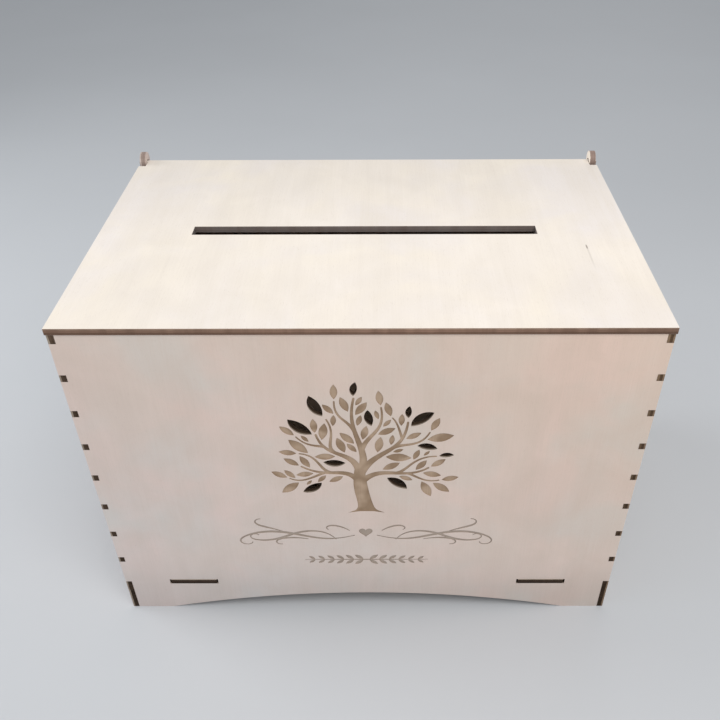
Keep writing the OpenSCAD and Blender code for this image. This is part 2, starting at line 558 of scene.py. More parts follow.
    def _fleck(self, graph: ShaderGraph, place: tuple[Socket, ...]) -> Socket:
        """Returns the mask of a bark fleck in the lid's veneer, with the fine split that trails from it."""
        x, y = self.veneer.fleck
        along = graph.math("DIVIDE", graph.minus(place[Axis.Y.value], y), self.FLECK_LENGTH)
        across = graph.math("DIVIDE", graph.minus(place[Axis.X.value], x), self.FLECK_WIDTH)
        spread = graph.plus(graph.math("POWER", along, 2.0), graph.math("POWER", across, 2.0))
        thin = graph.span(graph.math("ABSOLUTE", across), *self.SPLIT_SPAN)
        reach = graph.times(graph.span(along, *self.SPLIT_ENDS), graph.math("LESS_THAN", along, 0.0))
        return graph.math("MAXIMUM", graph.span(spread, *self.FLECK_SPAN), graph.times(thin, reach))

    def _edge(self, graph: ShaderGraph, sheet: Sheet, place: tuple[Socket, ...],
              depth: Socket) -> tuple[Socket, Socket]:
        """Returns the colour and the height of a cut edge: plies, glue lines and laser streaks."""
        edge = self.edge
        flat = list(place)
        flat[sheet.thick.value] = graph.times(place[sheet.thick.value], self.EDGE_SQUEEZE)
        cells = graph.vector(*flat)
        streak, soot = graph.noise(cells, *self.STREAK_NOISE), graph.noise(cells, *self.SOOT_NOISE)
        wander = graph.plus(depth, graph.span(soot, *self.WANDER))
        outer, inside = edge.outer, graph.mix(graph.span(wander, *self.INNER_JOINT), edge.core, edge.inner)
        # Painted shade: the cut edges grow darker towards the floor.
        if edge.painted_shade_by_height:
            char = graph.ramp(place[Axis.Z.value], edge.painted_shade_by_height)
            outer = graph.mix(graph.times(char, self.OUTER_PAINTED_SHADE), outer, edge.char)
            inside = graph.mix(char, inside, edge.char)
        # Painted light: the hinge ears' edges above the lid are made paler.
        if edge.painted_light_on_ears:
            ear_painted_light = graph.span(place[Axis.Z.value], *self.PAINTED_EAR_LIGHT_FROM)
            outer = graph.mix(ear_painted_light, outer, edge.painted_light_on_ears[0])
            inside = graph.mix(ear_painted_light, inside, edge.painted_light_on_ears[1])
        # Painted shade on the lid's cut edges: darker towards both ends along X.
        if edge.tone:
            outer, inside = (self._with_painted_shade(graph, sheet, place, Axis.X, wood, edge.tone)
                             for wood in (outer, inside))
        # Smoke stain and painted shade: the card slot's walls are greyed and darkened.
        if edge.smoke_and_painted_shade_half:
            near = [graph.math("LESS_THAN", graph.math("ABSOLUTE", axis), half)
                    for axis, half in zip(place, edge.smoke_and_painted_shade_half)]
            smoke_and_painted_shade = graph.times(graph.times(*near), self.SMOKE_AND_PAINTED_SHADE)
            outer, inside = (graph.mix(smoke_and_painted_shade, wood, edge.smoke_and_painted_shade) for wood in (outer, inside))
        colour = graph.mix(graph.span(wander, *self.OUTER_JOINT), outer, inside)
        for line in self.GLUE_LINES:
            gap = graph.math("ABSOLUTE", graph.minus(wander, line))
            colour = graph.mix(graph.span(gap, *self.GLUE_SPAN), colour, edge.char)
        colour = graph.mix(graph.span(soot, *self.SOOT_SPAN), colour, edge.glue)
        return graph.mix(graph.span(streak, *self.STREAK_SPAN), colour, edge.outer), streak


@dataclass
class EngravedWood:
    """Maker of the finish inside the engraved recess."""

    finish: EngravedFinish

    RASTER_PITCH = 0.28 * MM
    RASTER_SPAN = (-1.0, 1.0, 0.0, 0.4)
    FIBRE = Layer(1500.0, 30.0, 3.0, 0.0, 0.25, 0.75, 0.22)
    MOTTLE_NOISE = (160.0, 3.0, 0.4)
    MOTTLE_SPAN = (0.3, 0.7, 0.0, 0.22)
    BURN_NOISE = (95.0, 1.0, 0.3)
    BURN_SPAN = (0.40, 0.60)
    RIM_SPAN = (0.0, 0.98, 0.55, 0.0)
    FINE_BELOW = 84.0 * MM
    FINE_FADE = 1.0 * MM
    FINE_SHARE = 0.75
    UNEVEN = 0.05
    UNEVEN_FROM = (0.2, 0.8)
    RELIEF = 0.05 * MM
    RELIEF_STRENGTH = 0.6

    def material(self, front_y: float, depth: float) -> bpy.types.Material:
        """Builds the material of the recess.

        Args:
            front_y: where the panel's outer face lies, in metres.
            depth: depth of the recess, in metres.

        Returns:
            A tan, matt material with raster lines, greyer fine strokes, and a darker rim on the walls.
        """
        graph, finish, layer = ShaderGraph("engraved_birch"), self.finish, self.FIBRE
        x, y, z = graph.coordinates()
        flat = graph.vector(x, 0.0, z)
        stretched = graph.vector(graph.times(x, layer.across), 0.0, graph.times(z, layer.along))
        fibre = graph.noise(stretched, 1.0, layer.detail, layer.bend)
        mottle, burn = graph.noise(flat, *self.MOTTLE_NOISE), graph.noise(flat, *self.BURN_NOISE)
        colour = graph.mix(graph.span(burn, *self.BURN_SPAN), finish.light, finish.dark)
        share = graph.plus(graph.span(fibre, layer.low, layer.high, 0.0, layer.strength),
                           graph.span(mottle, *self.MOTTLE_SPAN))
        colour = graph.mix(share, colour, finish.scorch)
        fine = graph.span(z, self.FINE_BELOW - self.FINE_FADE, self.FINE_BELOW, self.FINE_SHARE, 0.0)
        colour = graph.mix(fine, colour, finish.fine)
        below = graph.span(y, front_y, front_y + depth)
        colour = graph.mix(graph.span(below, *self.RIM_SPAN), colour, finish.scorch)
        raster = graph.math("SINE", graph.times(z, 2.0 * math.pi / self.RASTER_PITCH))
        height = graph.plus(graph.span(raster, *self.RASTER_SPAN), fibre)
        smooth, rough = finish.roughness - self.UNEVEN, finish.roughness + self.UNEVEN
        roughness = graph.span(mottle, *self.UNEVEN_FROM, smooth, rough)
        return graph.finish(colour, roughness, graph.bump(height, self.RELIEF, self.RELIEF_STRENGTH))


# -------------------------------------------------------- drawing, in millimetres on the front panel


def bezier(points: list[Point], samples: int) -> np.ndarray:
    """Points of a cubic curve.

    Args:
        points: its four control points.
        samples: number of points wanted.

    Returns:
        An array of samples rows of across and up.
    """
    p = np.array(points, float)
    t = np.linspace(0.0, 1.0, samples)[:, None]
    u = 1.0 - t
    return u**3 * p[0] + 3 * t * u**2 * p[1] + 3 * t**2 * u * p[2] + t**3 * p[3]


def ribbon(centre: np.ndarray, widths: np.ndarray, tip_corners: int = 0) -> np.ndarray:
    """Outline of a stroke of changing width along a line.

    Args:
        centre: points of the middle line.
        widths: width of the stroke at each point.
        tip_corners: corners of the half circle that closes the far end, or none for a blunt end.

    Returns:
        The points of the closed outline.
    """
    way = np.gradient(centre, axis=0)
    way /= np.linalg.norm(way, axis=1)[:, None]
    side = np.c_[-way[:, 1], way[:, 0]] * widths[:, None] / 2
    parts = [centre + side]
    if tip_corners:
        fan = np.linspace(math.pi / 2, -math.pi / 2, tip_corners)[1:-1]
        turn = math.atan2(way[-1, 1], way[-1, 0]) + fan
        parts.append(centre[-1] + np.c_[np.cos(turn), np.sin(turn)] * widths[-1] / 2)
    return np.concatenate([*parts, (centre - side)[::-1]])


def mirrored(outline: np.ndarray) -> np.ndarray:
    """The same outline on the other side of the panel's middle."""
    return (outline * [-1.0, 1.0])[::-1]


@dataclass(frozen=True)
class Leaf:
    """A leaf: its middle, its length, and the way its tip points in degrees."""

    x: float
    z: float
    length: float
    turn: float

    CORNERS = 20
    WIDTH_SHARE = 0.41

    def outline(self) -> np.ndarray:
        """Outline of the leaf, pointed at both ends."""
        angle = np.linspace(0.0, 2 * np.pi, self.CORNERS, endpoint=False)
        wave = np.sin(angle) * np.abs(np.sin(angle))
        flat = np.c_[np.cos(angle), wave * self.WIDTH_SHARE] * self.length / 2
        cos, sin = math.cos(math.radians(self.turn)), math.sin(math.radians(self.turn))
        return flat @ np.array([[cos, sin], [-sin, cos]]) + [self.x, self.z]


@dataclass(frozen=True)
class Limb:
    """A branch: points of its curve, its widths, and the limb it leaves, if any, with how far along."""

    points: tuple[Point, ...]
    wide: float
    fine: float
    parent: str = ""
    share: float = 0.0


LIMBS = {
    "low_left": Limb(((-2, 22), (-9, 38), (-19, 25), (-34, 35.5)), 4.4, 1.1),
    "mid_left": Limb(((-2.6, 31), (-5.5, 49), (-20.5, 40), (-25, 58.5)), 4.6, 1.2),
    "top": Limb(((-2, 30), (4.5, 50), (-10, 58), (-4.5, 83)), 5.4, 1.2),
    "mid_right": Limb(((-1.5, 31), (7, 49), (21, 44), (23.5, 67)), 4.8, 1.2),
    "low_right": Limb(((-2, 23), (9, 38.5), (21, 24), (35, 34.5)), 4.4, 1.1),
    "low_left_up": Limb(((-25, 33), (-24, 44), (-34.5, 45)), 2.2, 0.9, "low_left", 0.58),
    "low_left_down": Limb(((-29, 27.5), (-34, 22.5), (-41, 26.5)), 1.9, 0.8, "low_left", 0.70),
    "mid_left_in": Limb(((-21, 51), (-13.5, 58), (-19, 69)), 2.4, 0.9, "mid_left", 0.58),
    "mid_left_out": Limb(((-27, 51), (-31, 51), (-35.5, 57)), 1.9, 0.8, "mid_left", 0.80),
    "top_left": Limb(((-7, 70), (-15, 68), (-14.5, 81)), 2.3, 0.9, "top", 0.60),
    "top_right": Limb(((2.5, 60), (12, 60), (9.5, 77)), 3.2, 1.0, "top", 0.36),
    "mid_right_out": Limb(((22, 53), (30, 49), (35, 60)), 2.4, 0.9, "mid_right", 0.60),
    "mid_right_in": Limb(((19, 61), (18.5, 66), (15.5, 70)), 1.7, 0.8, "mid_right", 0.78),
    "low_right_up": Limb(((24, 32), (26, 43), (39, 43)), 2.2, 0.9, "low_right", 0.56),
    "low_right_down": Limb(((29, 28), (33, 23), (41, 25)), 1.9, 0.8, "low_right", 0.72),
}


@dataclass
class EngravedTree:
    """Trunk, limbs and engraved leaves, which grow into the room between the limbs and pierced leaves."""

    foot: Point = (0.0, 88.0)
    leaf_gap: float = 0.75
    leaf_pitch: float = 6.2
    longest: float = 14.5
    shortest: float = 4.2
    tip_length: float = 9.5
    side_length: float = 7.0
    samples: int = 30
    curves: dict[str, np.ndarray] = field(default_factory=dict)
    taken: list[np.ndarray] = field(default_factory=list)
    leaves: list[Leaf] = field(default_factory=list)

    TRUNK_HEIGHTS = (-0.9, 0.1, 0.9, 2.0, 3.6, 6.0, 10.0, 16.0, 22.0, 28.0, 35.0)
    TRUNK_HALF_WIDTHS = (10.5, 8.4, 6.7, 5.5, 4.7, 4.25, 4.05, 4.0, 3.8, 3.4, 2.6)
    TRUNK_MIDDLES = (0.8, 0.8, 0.8, 0.7, 0.6, 0.3, -0.5, -1.6, -2.3, -2.6, -2.4)
    TRUNK_SAMPLES = 24
    ROOT_HEIGHTS = 5
    ROOT_HOLLOW = ((4.5, 0.3), (-2.9, 0.3))
    THINNING = 0.7
    TIP_CORNERS = 7

    SHRINKS = (1.0, 0.85, 0.7, 0.56, 0.45)
    LEANS = (0, 12, -12, 24, -20)
    TIP_LEAD = 1.6
    LEAFY_SHARE = 0.72
    FIRST_SHARE = 0.30
    SHARE_RANGE = 0.66
    LAST_SHARE = 0.97
    LAGS = {Side.LEFT: 0.25, Side.RIGHT: 0.65}
    OPENING = 46
    CLOSING = 12
    SIDE_LEAD = 0.9
    STALK = 0.55
    LENGTH_STEP = 0.618

    def grow(self, pierced: list[np.ndarray]) -> list[np.ndarray]:
        """Draws the wood of the tree and lets its leaves grow.

        Args:
            pierced: outlines of the leaves that are cut right through the panel.

        Returns:
            Outlines of the trunk and the limbs; the leaves are kept in self.leaves.
        """
        foot = np.array(self.foot)
        wood = [self._trunk() + foot]
        for name, limb in LIMBS.items():
            points = list(limb.points)
            if limb.parent:
                stem = self.curves[limb.parent]
                points.insert(0, tuple(stem[round(limb.share * (len(stem) - 1))] - foot))
            self.curves[name] = bezier(points, self.samples) + foot
            wood.append(ribbon(self.curves[name], self._widths(limb), self.TIP_CORNERS))
        self.taken = [self._dense(outline) for outline in [*wood, *pierced]]
        for name in LIMBS:
            self._tip_leaf(name)
        count = 0
        for name in LIMBS:
            count = self._side_leaves(name, count)
        return wood

    def _widths(self, limb: Limb) -> np.ndarray:
        """Width of a limb at each sample: it thins quickly at first."""
        share = np.linspace(0.0, 1.0, self.samples) ** self.THINNING
        return limb.wide + (limb.fine - limb.wide) * share

    def _trunk(self) -> np.ndarray:
        """Outline of the trunk with its flared roots, about its foot."""
        heights = np.array(self.TRUNK_HEIGHTS)
        roots = heights[:self.ROOT_HEIGHTS]
        smooth = np.concatenate([roots, np.linspace(roots[-1], heights[-1], self.TRUNK_SAMPLES)[1:]])
        half = np.interp(smooth, heights, self.TRUNK_HALF_WIDTHS)
        middle = np.interp(smooth, heights, self.TRUNK_MIDDLES)
        left, right = np.c_[middle - half, smooth], np.c_[middle + half, smooth][::-1]
        return np.concatenate([left, right, self.ROOT_HOLLOW])

    @staticmethod
    def _dense(outline: np.ndarray, step: float = 0.6) -> np.ndarray:
        """Points along an outline, no further apart than step."""
        pieces = []
        for start, end in zip(outline, np.roll(outline, -1, axis=0)):
            count = max(1, math.ceil(float(np.linalg.norm(end - start)) / step))
            pieces.append(start + (end - start) * (np.arange(count) / count)[:, None])
        return np.concatenate(pieces)

    @staticmethod
    def _inside(point: np.ndarray, outline: np.ndarray) -> bool:
        """Whether a point lies within an outline."""
        before = np.roll(outline, 1, axis=0)
        crosses = (outline[:, 1] > point[1]) != (before[:, 1] > point[1])
        rise = np.where(crosses, before[:, 1] - outline[:, 1], 1.0)
        reach = outline[:, 0] + (before[:, 0] - outline[:, 0]) * (point[1] - outline[:, 1]) / rise
        return bool(np.sum(crosses & (point[0] < reach)) % 2)

    @staticmethod
    def _unit(degrees: float) -> np.ndarray:
        """Step of length one that way."""
        return np.array([math.cos(math.radians(degrees)), math.sin(math.radians(degrees))])

    def _fits(self, leaf: Leaf) -> bool:
        """Whether a leaf stands clear of all that is drawn already."""
        edge = self._dense(leaf.outline())
        middle = np.array([leaf.x, leaf.z])
        reach = leaf.length / 2 + self.leaf_gap
        for other in self.taken:
            if np.any(other.min(axis=0) > middle + reach) or np.any(other.max(axis=0) < middle - reach):
                continue
            gap = np.min(np.linalg.norm(edge[:, None] - other[None], axis=2))
            if gap < self.leaf_gap or self._inside(middle, other):
                return False
        return True

    def _sprout(self, stem: np.ndarray, heading: float, side: Side, length: float) -> None:
        """Places a leaf at a stem, shorter or turned away where there is no room for it.

        Args:
            stem: point that the leaf's near tip stands on.
            heading: the way its far tip points, in degrees.
            side: side of the branch, which it turns away from.
            length: length wanted.
        """
        for shrink in self.SHRINKS:
            if length * shrink < self.shortest:
                return
            for lean in self.LEANS:
                turn = heading + side.value * lean
                middle = stem + self._unit(turn) * (length * shrink / 2)
                leaf = Leaf(*middle.tolist(), length * shrink, turn)
                if self._fits(leaf):
                    self.leaves.append(leaf)
                    self.taken.append(self._dense(leaf.outline()))
                    return

    def _tip_leaf(self, name: str) -> None:
        """Places the leaf at the end of a limb."""
        curve = self.curves[name]
        way = curve[-1] - curve[-2]
        way /= np.linalg.norm(way)
        heading = math.degrees(math.atan2(way[1], way[0]))
        self._sprout(curve[-1] + way * self.TIP_LEAD, heading, Side.LEFT, self.tip_length)

    def _side_leaves(self, name: str, count: int) -> int:
        """Places leaves by turns on both sides of a limb.

        Args:
            name: name of the limb.
            count: leaves tried before, which sets each leaf's length.

        Returns:
            The new count of leaves tried.
        """
        curve, widths = self.curves[name], self._widths(LIMBS[name])
        length = float(np.sum(np.linalg.norm(np.diff(curve, axis=0), axis=1)))
        stations = max(2, int(length * self.LEAFY_SHARE / self.leaf_pitch))
        for station in range(stations):
            order = (Side.LEFT, Side.RIGHT) if station % 2 else (Side.RIGHT, Side.LEFT)
            for side in order:
                share = self.FIRST_SHARE + self.SHARE_RANGE * (station + self.LAGS[side]) / stations
                if share > self.LAST_SHARE:
                    continue
                index = round(share * (self.samples - 1))
                way = curve[min(index + 1, self.samples - 1)] - curve[index - 1]
                way /= np.linalg.norm(way)
                out = np.array([-way[1], way[0]]) * side.value
                count += 1
                opening = side.value * (self.OPENING - self.CLOSING * share)
                heading = math.degrees(math.atan2(way[1], way[0])) + opening
                stem = curve[index] + out * (widths[index] / 2 + self.STALK)
                stem = stem + self._unit(heading) * self.SIDE_LEAD
                more = (self.longest - self.side_length) * ((count * self.LENGTH_STEP) % 1.0)
                self._sprout(stem, heading, side, self.side_length + more)
        return count


@dataclass(frozen=True)
class PenStroke:
    """A swelling stroke: its start, heading in degrees, and bends as length, first and last curvature."""

    start: Point
    heading: float
    bends: tuple[tuple[float, float, float], ...]
    wide: float

    FINE = 0.5
    STEP = 0.5
    SWELL = 1.5

    def line(self) -> np.ndarray:
        """Middle line of the stroke, before it is stretched."""
        x, z = self.start
        heading = math.radians(self.heading)
        line = [(x, z)]
        for length, first, last in self.bends:
            count = max(2, round(length / self.STEP))
            for step in range(count):
                heading += (first + (last - first) * (step + 0.5) / count) * length / count
                x += math.cos(heading) * length / count
                z += math.sin(heading) * length / count
                line.append((x, z))
        return np.array(line)

    def outline(self, stretch: Point, middle: Point) -> np.ndarray:
        """Outline of the stroke, thin at both ends and widest in the middle.

        Args:
            stretch: how far the stroke is stretched across and up.
            middle: point that stays where it is.

        Returns:
            The points of the closed outline.
        """
        line = (self.line() - middle) * stretch + middle
        swell = np.sin(np.pi * np.linspace(0.0, 1.0, len(line))) ** self.SWELL
        return ribbon(line, self.FINE + (self.wide - self.FINE) * swell)


@dataclass(frozen=True)
class Flourish:
    """Interlaced scrolls either side of a small heart, over a sprig of leaves."""

    heart: Point = (0.0, 70.5)
    heart_size: float = 8.0
    stretch: Point = (1.17, 0.8)
    middle: Point = (0.0, 69.0)
    sprig_z: float = 46.0
    sprig_half: float = 37.0
    sprig_bare: float = 3.0
    sprig_pairs: int = 6
    sprig_leaf: float = 6.2
    sprig_taper: float = 0.35
    sprig_lean: float = 36.0
    sprig_lead: float = 1.6
    stem_fine: float = 0.35
    stem_swell: float = 0.5

    HEART_POINTS = 28
    HEART_SPAN = 32
    STEM_POINTS = 41
    LEAF_RISE = 0.38
    STROKES = (
        PenStroke((5.5, 67.5), -26,
                  ((15, 0.01, 0.06), (24, 0.05, -0.04), (20, -0.04, -0.055), (15, -0.09, -0.44)), 1.8),
        PenStroke((15.0, 63.0), 66,
                  ((10, -0.02, -0.10), (18, -0.10, -0.03), (19, 0.0, 0.10), (11, 0.18, 0.52)), 1.6),
        PenStroke((29.0, 63.5), 18, ((14, -0.02, -0.08), (9, -0.16, -0.5)), 1.3),
        PenStroke((41.5, 72.0), 34, ((12, -0.03, 0.02), (10, 0.1, 0.42)), 1.35),
        PenStroke((8.0, 72.5), 52, ((9, -0.03, -0.10), (8, -0.16, -0.55)), 1.2),
    )

    def outlines(self) -> list[np.ndarray]:
        """Outlines of the scrolls, the heart and the sprig's stem."""
        half = [stroke.outline(self.stretch, self.middle) for stroke in self.STROKES]
        return [*half, *map(mirrored, half), self._heart(), self._stem()]

    def _heart(self) -> np.ndarray:
        """Outline of the heart between the scrolls, a curve of cosines that is HEART_SPAN wide."""
        t = np.linspace(0.0, 2 * np.pi, self.HEART_POINTS, endpoint=False)
        up = 13 * np.cos(t) - 5 * np.cos(2 * t) - 2 * np.cos(3 * t) - np.cos(4 * t)
        return np.c_[16 * np.sin(t) ** 3, up] * self.heart_size / self.HEART_SPAN + self.heart

    def _stem(self) -> np.ndarray:
        """Outline of the sprig's stem, thinning towards both ends."""
        x = np.linspace(-self.sprig_half, self.sprig_half, self.STEM_POINTS)
        widths = self.stem_fine + self.stem_swell * (1.0 - np.abs(x) / self.sprig_half)
        return ribbon(np.c_[x, np.full(x.size, self.sprig_z)], widths)

    def sprig(self) -> list[Leaf]:
        """Leaves in pairs along the stem, pointing away from its middle."""
        leaves = []
        pitch = (self.sprig_half - self.sprig_bare) / self.sprig_pairs
        for side in (1, -1):
            for pair in range(self.sprig_pairs):
                length = self.sprig_leaf - self.sprig_taper * pair
                x = side * (pitch * (pair + 0.5) + self.sprig_lead)
                for up in (1, -1):
                    turn = up * self.sprig_lean if side > 0 else 180 - up * self.sprig_lean
                    leaves.append(Leaf(x, self.sprig_z + up * length * self.LEAF_RISE, length, turn))
        return leaves


class LeafStamp:
    """Geometry Nodes that stamp one leaf outline on each point of a cloud, at its own length and turn."""

    def __init__(self, material: bpy.types.Material) -> None:
        """Builds the node tree.

        Args:
            material: material of the stamped leaves.
        """
        self.tree = bpy.data.node_groups.new("leaf_stamp", "GeometryNodeTree")
        face = self.tree.interface
        face.new_socket("Geometry", in_out="INPUT", socket_type="NodeSocketGeometry")
        slim = face.new_socket("Leaf Width Share", in_out="INPUT", socket_type="NodeSocketFloat")
        slim.default_value = Leaf.WIDTH_SHARE
        finish = face.new_socket("Leaf Finish", in_out="INPUT", socket_type="NodeSocketMaterial")
        face.new_socket("Geometry", in_out="OUTPUT", socket_type="NodeSocketGeometry")
        self.slim, self.finish, self.material = slim.identifier, finish.identifier, material
        self._wire()

    def _add(self, kind: str, **settings: object) -> bpy.types.Node:
        """Adds a node with some of its settings."""
        node = self.tree.nodes.new(kind)
        for name, value in settings.items():
            setattr(node, name, value)
        return node

    def _measure(self, name: str) -> bpy.types.Node:
        """Adds a node that reads a number kept on each point."""
        node = self._add("GeometryNodeInputNamedAttribute", data_type="FLOAT")
        node.inputs["Name"].default_value = name
        return node

    def _wire(self) -> None:
        """Links the nodes: a disc is pinched into a leaf, stamped, made real and given its finish."""
        inlet, outlet = self._add("NodeGroupInput"), self._add("NodeGroupOutput")
        disc = self._add("GeometryNodeMeshCircle", fill_type="NGON")
        disc.inputs["Vertices"].default_value = Leaf.CORNERS
        disc.inputs["Radius"].default_value = 0.5
        place, split = self._add("GeometryNodeInputPosition"), self._add("ShaderNodeSeparateXYZ")
        size = self._add("ShaderNodeMath", operation="ABSOLUTE")
        square, double, narrow = (self._add("ShaderNodeMath", operation="MULTIPLY") for _ in range(3))
        double.inputs[1].default_value = 2.0
        join, spin = self._add("ShaderNodeCombineXYZ"), self._add("ShaderNodeCombineXYZ")
        length, turn = self._measure("leaf_length"), self._measure("leaf_turn")
        pinch, stamp = self._add("GeometryNodeSetPosition"), self._add("GeometryNodeInstanceOnPoints")
        real, dress = self._add("GeometryNodeRealizeInstances"), self._add("GeometryNodeSetMaterial")
        for giver, output, taker, entry in (
                (place, 0, split, 0), (split, "Y", size, 0), (split, "Y", square, 0),
                (size, 0, square, 1), (square, 0, double, 0), (double, 0, narrow, 0),
                (inlet, "Leaf Width Share", narrow, 1), (split, "X", join, "X"), (narrow, 0, join, "Y"),
                (join, 0, pinch, "Position"), (disc, "Mesh", pinch, "Geometry"),
                (pinch, "Geometry", stamp, "Instance"), (inlet, "Geometry", stamp, "Points"),
                (length, "Attribute", stamp, "Scale"), (turn, "Attribute", spin, "Z"),
                (spin, 0, stamp, "Rotation"), (stamp, "Instances", real, 0),
                (real, 0, dress, "Geometry"), (inlet, "Leaf Finish", dress, "Material"),
                (dress, 0, outlet, 0)):
            self.tree.links.new(giver.outputs[output], taker.inputs[entry])

    def outlines(self, leaves: list[Leaf]) -> list[np.ndarray]:
        """Stamps the leaves and reads back their outlines.

        Args:
            leaves: the leaves, in millimetres.

        Returns:
            One closed outline for each leaf.
        """
        cloud = bpy.data.meshes.new("leaf_points")
        cloud.from_pydata([(leaf.x, leaf.z, 0.0) for leaf in leaves], [], [])
        for name, values in (("leaf_length", [leaf.length for leaf in leaves]),
                             ("leaf_turn", [math.radians(leaf.turn) for leaf in leaves])):
            cloud.attributes.new(name, "FLOAT", "POINT").data.foreach_set("value", values)
        holder = bpy.data.objects.new("leaf_points", cloud)
        bpy.context.scene.collection.objects.link(holder)
        modifier = holder.modifiers.new("leaf_stamp", "NODES")
        modifier.node_group = self.tree
        modifier[self.slim] = Leaf.WIDTH_SHARE
        modifier[self.finish] = self.material
        evaluated = holder.evaluated_get(bpy.context.evaluated_depsgraph_get())
        stamped = bpy.data.meshes.new_from_object(evaluated)
        outlines = [np.array([stamped.vertices[v].co[:2] for v in face.vertices])
                    for face in stamped.polygons]
        bpy.data.objects.remove(holder)
        bpy.data.meshes.remove(stamped)
        bpy.data.meshes.remove(cloud)
        return outlines


# -------------------------------------------------------- front panel


@dataclass
class FrontPanel:
    """Front panel with its engraving: the CAD panel's outline and holes, with a recess in its outer face.

    Attributes:
        sheet: the CAD panel.
        engraving_depth: depth of the recess, in metres.
        leaf_zone: half width, low end and high end of where a hole is a leaf, in millimetres.
        plane_slack: how far from a plane a point may be and still lie in it, in metres.
    """

    sheet: Sheet
    engraving_depth: float = 0.35 * MM
    leaf_zone: tuple[float, float, float] = (60.0, 95.0, 190.0)
    plane_slack: float = 0.01 * MM

    NAME = "front_panel_engraved"
    KEEP_INSIDE = 1
    JOIN_WITHIN = 1e-4

    def build(self, veneer: bpy.types.Material, engraved: bpy.types.Material) -> None:
        """Builds the piece, which rides on the carcass and stands for the CAD panel.

        Args:
            veneer: plywood material of the panel.
            engraved: material of the recess.
        """
        shell = bmesh.new()
        shell.from_mesh(frame["nodes"][self.sheet.node].data)
        bmesh.ops.remove_doubles(shell, verts=shell.verts, dist=self.plane_slack / 2)
        front_y = min(vert.co.y for vert in shell.verts)
        faces = [f for f in shell.faces if all(abs(v.co.y - front_y) < self.plane_slack for v in f.verts)]
        loops = self._loops(faces)
        bmesh.ops.delete(shell, geom=faces, context="FACES")
        outer = max(loops, key=self._area)
        holes = [loop for loop in loops if loop is not outer]
        half, low, high = self.leaf_zone
        pierced = [h for h in holes if np.all(np.abs(h[:, 0]) < half) and low < h[:, 1].mean() < high]
        LOG.info("front_panel: %d holes, %d of them pierced leaves", len(holes), len(pierced))
        self._engrave(shell, front_y, [outer, *holes], self._drawing(pierced, engraved))
        self._piece(shell, veneer, engraved)

    def _drawing(self, pierced: list[np.ndarray], engraved: bpy.types.Material) -> list[np.ndarray]:
        """Returns the outlines of all that is engraved."""
        tree, flourish, stamp = EngravedTree(), Flourish(), LeafStamp(engraved)
        wood = tree.grow(pierced)
        leaves = stamp.outlines([*tree.leaves, *flourish.sprig()])
        LOG.info("front_panel: %d limbs and trunk, %d stamped leaves", len(wood), len(leaves))
        return [*wood, *flourish.outlines(), *leaves]

    @staticmethod
    def _loops(faces: list[bmesh.types.BMFace]) -> list[np.ndarray]:
        """Returns the border loops of a set of faces, in millimetres across and up."""
        chosen = set(faces)
        after = {}
        for face in faces:
            for corner in face.loops:
                if sum(other in chosen for other in corner.edge.link_faces) == 1:
                    after[corner.vert] = corner.link_loop_next.vert
        loops = []
        while after:
            loop, vert = [], next(iter(after))
            while vert in after:
                loop.append((vert.co.x / MM, vert.co.z / MM))
                vert = after.pop(vert)
            loops.append(np.array(loop))
        return loops

    @staticmethod
    def _area(outline: np.ndarray) -> float:
        """Area within an outline, whichever way round it runs."""
        x, z = outline.T
        return abs(float(np.dot(x, np.roll(z, 1)) - np.dot(z, np.roll(x, 1)))) / 2

    @staticmethod
    def _anticlockwise(outline: np.ndarray) -> np.ndarray:
        """The outline, turned round if it runs clockwise."""
        x, z = outline.T
        return outline if np.dot(x, np.roll(z, -1)) > np.dot(z, np.roll(x, -1)) else outline[::-1]

    def _engrave(self, shell: bmesh.types.BMesh, front_y: float, borders: list[np.ndarray],
                 shapes: list[np.ndarray]) -> None:
        """Closes the open front of the shell with a face that is sunk wherever a shape covers it.

        Args:
            shell: the panel without its outer face.
            front_y: where the outer face lies, in metres.
            borders: outline of the panel and then those of the openings, in millimetres.
            shapes: outlines of the engraving, in millimetres.
        """
        points, rings = [], []
        for outline in [*borders, *shapes]:
            ring = self._anticlockwise(outline)
            rings.append(list(range(len(points), len(points) + len(ring))))
            points.extend(Vector(p) for p in ring)
        verts, _, faces, _, _, covers = delaunay_2d_cdt(
            points, [], rings, self.KEEP_INSIDE, self.JOIN_WITHIN)
        top, floor, side_of = {}, {}, {}

        def vert(index: int, level: dict[int, bmesh.types.BMVert], y: float) -> bmesh.types.BMVert:
            """The vertex of one level over a point of the drawing."""
            if index not in level:
                level[index] = shell.verts.new((verts[index][0] * MM, y, verts[index][1] * MM))
            return level[index]

        for corners, cover in zip(faces, covers):
            if 0 not in cover or any(0 < c < len(borders) for c in cover):
                continue
            sunk = any(c >= len(borders) for c in cover)
            level, y = (floor, front_y + self.engraving_depth) if sunk else (top, front_y)
            face = shell.faces.new([vert(c, level, y) for c in corners])
            face.material_index = int(sunk)
            for a, b in zip(corners, (*corners[1:], corners[0])):
                side_of[(a, b)] = sunk
        for (a, b), sunk in side_of.items():
            if sunk and side_of.get((b, a)) is False:
                wall = shell.faces.new([floor[b], floor[a], top[a], top[b]])
                wall.material_index = 1
        bmesh.ops.remove_doubles(shell, verts=shell.verts, dist=self.plane_slack / 2)
        bmesh.ops.recalc_face_normals(shell, faces=shell.faces)

